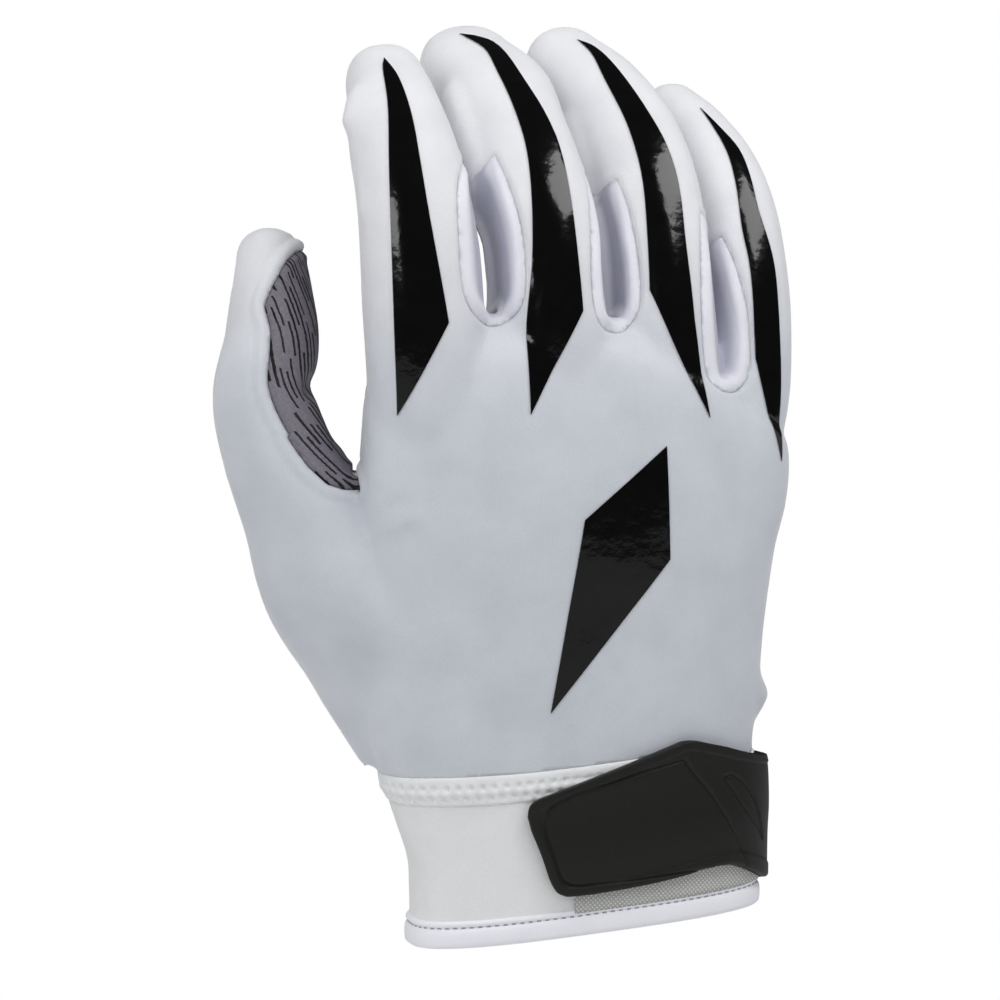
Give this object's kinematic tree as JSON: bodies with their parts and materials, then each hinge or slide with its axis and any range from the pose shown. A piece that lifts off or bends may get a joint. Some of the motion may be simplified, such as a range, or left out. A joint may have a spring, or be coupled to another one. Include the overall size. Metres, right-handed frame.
{
  "type": "football receiver glove",
  "caption": "Right-hand receiver glove, filled as worn: stretch back, grip palm and fingers, knit cuff and moulded wrist tab.",
  "frame": {"origin": "centre of the wrist opening, inside the hem", "axes": "+Z towards the fingertips, +Y out of the palm (so -Y is the back of the hand), +X towards the little finger"},
  "size_m": [0.1331, 0.0719, 0.205],
  "materials": {
    "back_cloth": "cool white stretch jersey, fine and matte",
    "grip_sheet": "tacky grey silicone-coated sheet with short dark dashes",
    "side_cloth": "lavender white stretch cloth",
    "cuff_knit": "off-white fine knit",
    "band_elastic": "white ribbed elastic with rows of stitches",
    "hem_tape": "lavender white folded binding with a topstitch",
    "loop_mesh": "grey diagonal mesh",
    "tab_rubber": "black moulded rubber, satin",
    "stripe_film": "black glossy heat-pressed film"
  },
  "bodies": {
    "root": {"back_panel": "back_cloth", "palm_panel": "grip_sheet", "thumb_grip": "grip_sheet", "gusset_index_middle": "side_cloth", "gusset_middle_ring": "side_cloth", "gusset_ring_pinky": "side_cloth", "cuff": "cuff_knit", "seam_band": "band_elastic", "hem_binding": "hem_tape", "loop_patch": "loop_mesh", "strap": "tab_rubber", "stripe_index": "stripe_film", "stripe_middle": "stripe_film", "stripe_ring": "stripe_film", "stripe_pinky": "stripe_film", "back_kite": "stripe_film"}
  },
  "joints": []
}
